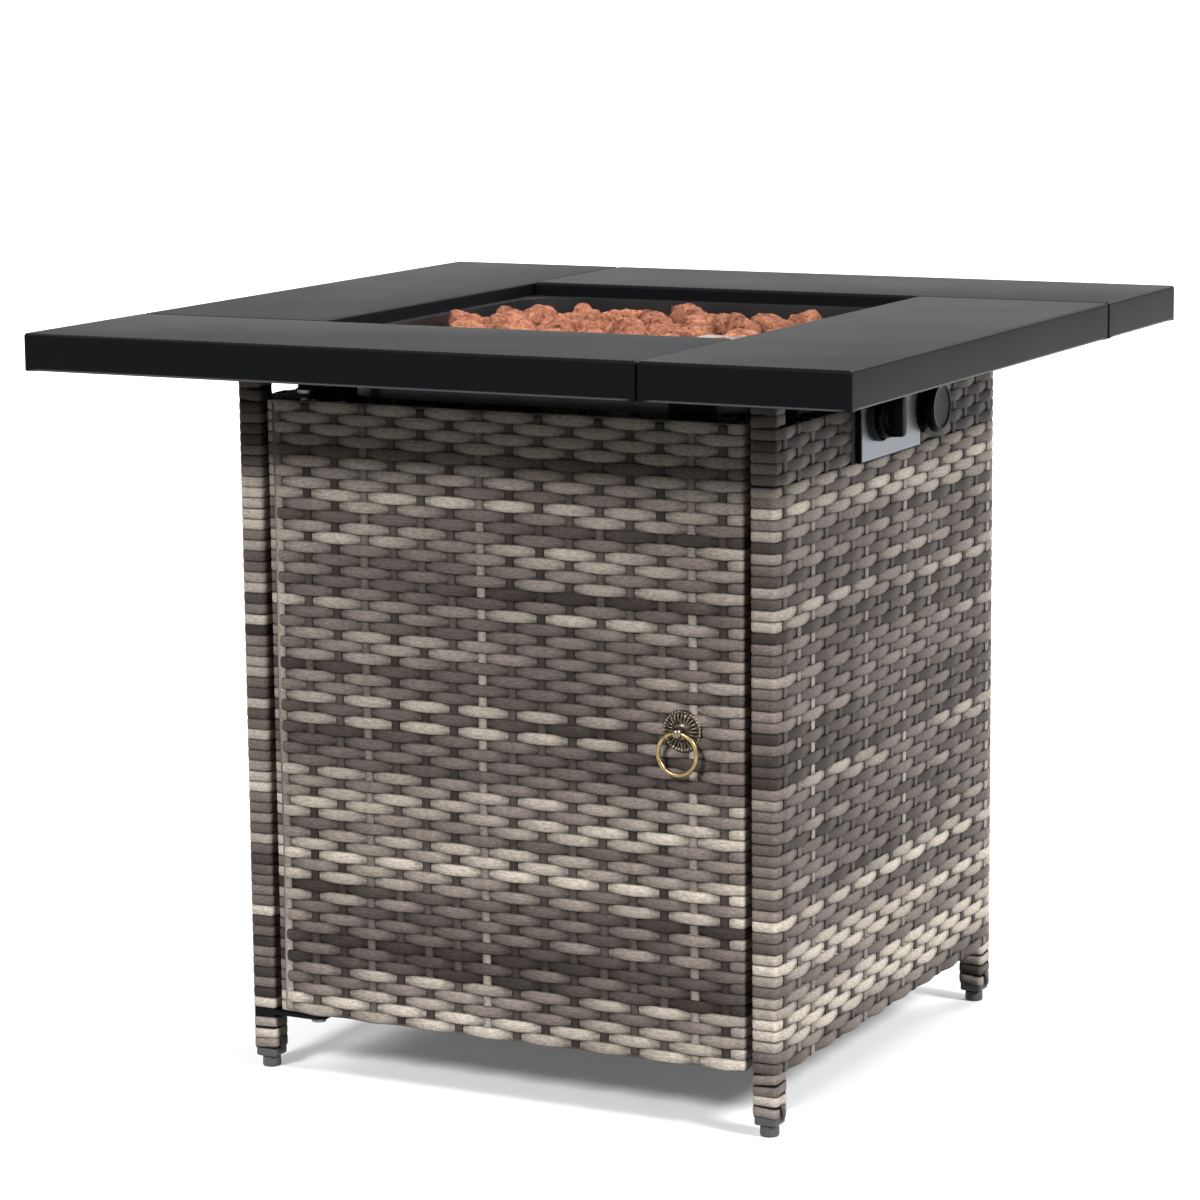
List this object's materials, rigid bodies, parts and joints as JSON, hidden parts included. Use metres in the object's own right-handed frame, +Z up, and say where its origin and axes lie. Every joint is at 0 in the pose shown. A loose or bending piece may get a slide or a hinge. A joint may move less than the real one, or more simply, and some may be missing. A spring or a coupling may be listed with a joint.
{
  "type": "gas fire pit table",
  "caption": "Square gas fire pit table: folded black steel top round a burner pan of lava rock, on a woven rattan cabinet with a pivoting door, ring pull, knob and igniter.",
  "frame": {"origin": "on the floor, under the middle of the table top", "axes": "+X to the control side, -Y to the door, +Z up"},
  "size_m": [0.711, 0.711, 0.62],
  "materials": {
    "top_steel": "satin",
    "frame_steel": "satin",
    "fastener": "zinc plated",
    "black_fastener": "satin",
    "rattan": "matte",
    "foot_plastic": "matte",
    "nylon": "matte",
    "dark_bronze": "antique",
    "antique_brass": "antique",
    "black_plastic": "satin",
    "grey_plastic": "satin",
    "pan_steel": "satin",
    "stainless": "brushed",
    "brass": "machined",
    "aluminium": "cast",
    "label": "satin",
    "igniter_plastic": "gloss",
    "ceramic": "matte",
    "lead_rubber": "matte",
    "lava": "rough"
  },
  "bodies": {
    "base": {"top_panel_front": "top_steel", "top_panel_right": "top_steel", "top_panel_back": "top_steel", "top_panel_left": "top_steel", "top_frame": "frame_steel", "top_nuts": "fastener", "post_screws": "black_fastener", "side_frame_left": "frame_steel", "side_frame_right": "frame_steel", "weave_left": "rattan", "weave_right": "rattan", "back_frame": "frame_steel", "weave_back": "rattan", "frame_bolts": "black_fastener", "foot_plugs": "foot_plastic", "hinge_bracket_bottom": "frame_steel", "hinge_bracket_top": "frame_steel", "hinge_pins": "fastener", "hinge_washer": "nylon", "hinge_screws": "black_fastener", "catch_bracket": "frame_steel", "catch_magnet": "black_plastic", "catch_screws": "black_fastener", "burner_pan": "pan_steel", "burner_ring": "stainless", "burner_nut": "fastener", "air_mixer": "fastener", "gas_orifice": "brass", "feed_pipe": "aluminium", "gas_valve": "aluminium", "valve_screws": "black_fastener", "knob_bezel": "grey_plastic", "control_box": "frame_steel", "box_screws": "black_fastener", "label_plate": "label", "igniter_body": "igniter_plastic", "igniter_nut": "black_plastic", "electrode": "ceramic", "electrode_shield": "stainless", "ignition_lead": "lead_rubber", "lava_rocks": "lava"},
    "door": {"door_frame": "frame_steel", "weave_door": "rattan", "pull_rosette": "dark_bronze", "pull_nut": "fastener", "catch_strike": "fastener"},
    "ring": {"pull_ring": "antique_brass"},
    "plug": {"valve_plug": "brass"},
    "knob": {"valve_spindle": "stainless", "control_knob": "black_plastic"},
    "igniter": {"igniter_button": "igniter_plastic"},
    "foot_fl": {"foot_fl": "foot_plastic"},
    "foot_fr": {"foot_fr": "foot_plastic"},
    "foot_bl": {"foot_bl": "foot_plastic"},
    "foot_br": {"foot_br": "foot_plastic"}
  },
  "joints": [
    {"name": "door_swing", "type": "hinge", "parent": "base", "child": "door", "pos_m": [-0.18, -0.218, 0.306], "axis": [0, 0, -1], "range_deg": [0, 100]},
    {"name": "ring_swing", "type": "hinge", "parent": "door", "child": "ring", "pos_m": [0.16, -0.2385, 0.319], "axis": [-1, 0, 0], "range_deg": [0, 100]},
    {"name": "knob_turn", "type": "hinge", "parent": "base", "child": "plug", "pos_m": [0.208, -0.0435, 0.548], "axis": [1, 0, 0], "range_deg": [0, 220]},
    {"name": "knob_press", "type": "slide", "parent": "plug", "child": "knob", "axis": [-1, 0, 0], "range_m": [0, 0.004], "stiffness_N_per_m": 1500, "springref_m": -0.002},
    {"name": "igniter_press", "type": "slide", "parent": "base", "child": "igniter", "axis": [-1, 0, 0], "range_m": [0, 0.004], "stiffness_N_per_m": 2000, "springref_m": -0.002},
    {"name": "foot_fl_level", "type": "slide", "parent": "base", "child": "foot_fl", "axis": [0, 0, -1], "range_m": [0, 0.008]},
    {"name": "foot_fr_level", "type": "slide", "parent": "base", "child": "foot_fr", "axis": [0, 0, -1], "range_m": [0, 0.008]},
    {"name": "foot_bl_level", "type": "slide", "parent": "base", "child": "foot_bl", "axis": [0, 0, -1], "range_m": [0, 0.008]},
    {"name": "foot_br_level", "type": "slide", "parent": "base", "child": "foot_br", "axis": [0, 0, -1], "range_m": [0, 0.008]}
  ]
}
